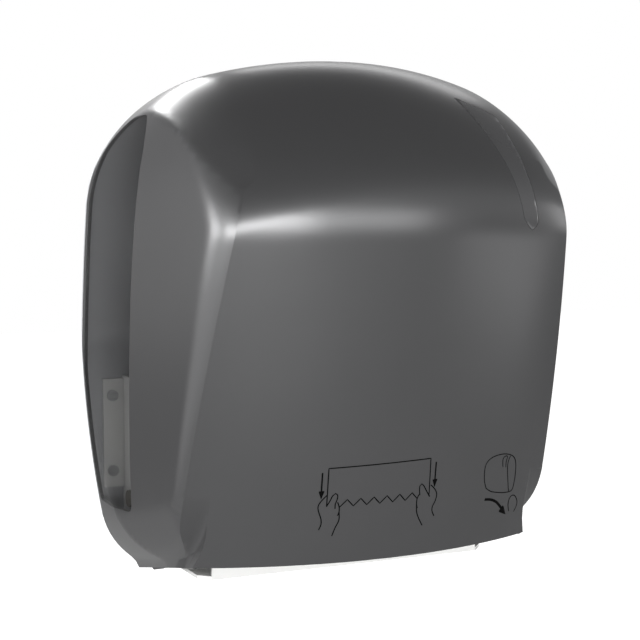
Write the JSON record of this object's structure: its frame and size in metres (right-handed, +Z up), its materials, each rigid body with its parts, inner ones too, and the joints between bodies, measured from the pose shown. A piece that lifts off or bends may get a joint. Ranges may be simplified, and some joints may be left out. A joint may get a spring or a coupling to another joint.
{
  "type": "roll towel dispenser",
  "caption": "Wall-mounted dispenser with a hinged arched cover, smoked windows, a spring-held roll, and a drum that feeds and cuts each sheet pulled by hand.",
  "frame": {"origin": "centre of the wall screw pattern on the rear face of the back plate", "axes": "+X to the viewer's right, +Y into the wall, +Z up; the front looks along -Y"},
  "size_m": [0.3218, 0.2148, 0.3618],
  "materials": {
    "cover_grey": "metallic grey moulding",
    "smoke_window": "smoked clear plastic",
    "white_plastic": "white moulding",
    "pale_plastic": "light grey moulding",
    "brown_plastic": "brown grey moulding",
    "steel": "ground steel",
    "rubber": "matt rubber"
  },
  "bodies": {
    "wall_unit": {"back_plate": "pale_plastic", "chassis_left": "white_plastic", "chassis_right": "white_plastic", "exit_chute": "white_plastic", "front_guide": "white_plastic", "arm_bracket_left": "white_plastic", "arm_bracket_right": "white_plastic", "arm_pin_left": "steel", "arm_pin_right": "steel", "arm_spring_left": "steel", "arm_spring_right": "steel", "bush_left": "pale_plastic", "bush_right": "pale_plastic", "blade_cam": "white_plastic", "pinch_block_left": "pale_plastic", "pinch_block_right": "pale_plastic", "pinch_spring_left": "steel", "pinch_spring_right": "steel", "hinge_pin_left": "steel", "hinge_pin_right": "steel", "lock_strike": "white_plastic", "chassis_screws": "steel", "bracket_screws": "steel", "return_spring": "steel"},
    "cover": {"front_cover": "cover_grey", "side_window_left": "smoke_window", "side_window_right": "smoke_window", "level_window": "smoke_window", "hinge_bracket_left": "cover_grey", "hinge_bracket_right": "cover_grey", "lock_housing": "cover_grey"},
    "lock": {"lock_barrel": "steel", "lock_cam": "steel"},
    "drum": {"drum_shell": "white_plastic", "drum_cap_left": "pale_plastic", "drum_cap_right": "pale_plastic", "drum_strips": "rubber", "drum_shaft": "steel", "feed_knob": "brown_plastic", "feed_wheel": "white_plastic", "spring_crank": "brown_plastic"},
    "cutter": {"blade_carrier": "pale_plastic", "blade": "steel", "blade_pin": "steel", "cam_lever": "pale_plastic", "cam_roller": "rubber"},
    "pinch": {"pinch_roller": "rubber", "pinch_shaft": "steel"},
    "arm_left": {"roll_arm_left": "white_plastic"},
    "arm_right": {"roll_arm_right": "white_plastic"},
    "hub_left": {"core_hub_left": "white_plastic"},
    "hub_right": {"core_hub_right": "white_plastic"}
  },
  "joints": [
    {"name": "cover_hinge", "type": "hinge", "parent": "wall_unit", "child": "cover", "pos_m": [0, -0.029, -0.196], "axis": [1, 0, 0], "range_deg": [0, 95]},
    {"name": "lock_turn", "type": "hinge", "parent": "cover", "child": "lock", "pos_m": [0, -0.084, 0.125], "axis": [0, 0, 1], "range_deg": [0, 90]},
    {"name": "drum_turn", "type": "hinge", "parent": "wall_unit", "child": "drum", "pos_m": [0, -0.054, -0.147], "axis": [1, 0, 0], "continuous": true, "deforming": ["return_spring"]},
    {"name": "blade_swing", "type": "hinge", "parent": "drum", "child": "cutter", "pos_m": [0, -0.06814, -0.13286], "axis": [1, 0, 0], "range_deg": [0, 20]},
    {"name": "pinch_turn", "type": "hinge", "parent": "wall_unit", "child": "pinch", "pos_m": [0, -0.10099, -0.1299], "axis": [1, 0, 0], "continuous": true},
    {"name": "arm_left_swing", "type": "hinge", "parent": "wall_unit", "child": "arm_left", "pos_m": [-0.1063, -0.014, 0.035], "axis": [0, 0, -1], "range_deg": [0, 8], "stiffness_Nm_per_rad": 0.3},
    {"name": "arm_right_swing", "type": "hinge", "parent": "wall_unit", "child": "arm_right", "pos_m": [0.1063, -0.014, 0.035], "axis": [0, 0, 1], "range_deg": [0, 8], "stiffness_Nm_per_rad": 0.3},
    {"name": "hub_left_turn", "type": "hinge", "parent": "arm_left", "child": "hub_left", "pos_m": [-0.1063, -0.103, 0.035], "axis": [1, 0, 0], "continuous": true},
    {"name": "hub_right_turn", "type": "hinge", "parent": "arm_right", "child": "hub_right", "pos_m": [0.1063, -0.103, 0.035], "axis": [1, 0, 0], "continuous": true}
  ],
  "couplings": [
    {"joint": "pinch_turn", "follows": "drum_turn", "ratio": -4.5111}
  ]
}
